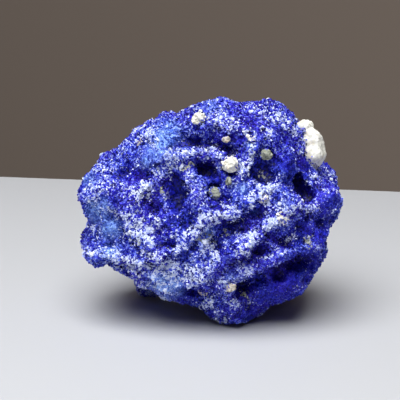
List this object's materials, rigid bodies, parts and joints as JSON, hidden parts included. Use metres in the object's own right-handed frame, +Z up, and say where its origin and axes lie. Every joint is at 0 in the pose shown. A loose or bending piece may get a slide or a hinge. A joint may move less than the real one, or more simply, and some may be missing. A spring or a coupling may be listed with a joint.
{
  "type": "azurite specimen",
  "caption": "Rough nodular azurite mineral specimen with pale clay lumps and small stones caught in its crust, standing on blunt feet.",
  "frame": {"origin": "middle of the footprint's bounding box, on the surface that the stone rests on", "axes": "+Z up, -Y out of the best face, +X to the right as that face is seen"},
  "size_m": [0.0604, 0.0482, 0.0505],
  "materials": {
    "azurite": "matt to glittery druse of tiny crystals",
    "white_clay": "chalky matt",
    "grey_clay": "dull matt",
    "tan_stone": "dull matt"
  },
  "bodies": {
    "root": {"azurite_mass": "azurite", "clay_nodule": "white_clay", "clay_lump_front": "white_clay", "clay_lump_crown": "white_clay", "clay_lump_right": "white_clay", "clay_lump_back": "white_clay", "clay_chip_slope": "white_clay", "clay_chip_shelf": "white_clay", "grey_chip_upper": "grey_clay", "grey_chip_middle": "grey_clay", "grey_pebble_hollow": "grey_clay", "tan_grain_groove": "tan_stone", "tan_grain_foot": "tan_stone", "tan_grain_under": "tan_stone", "tan_grain_shoulder": "tan_stone"}
  },
  "joints": []
}
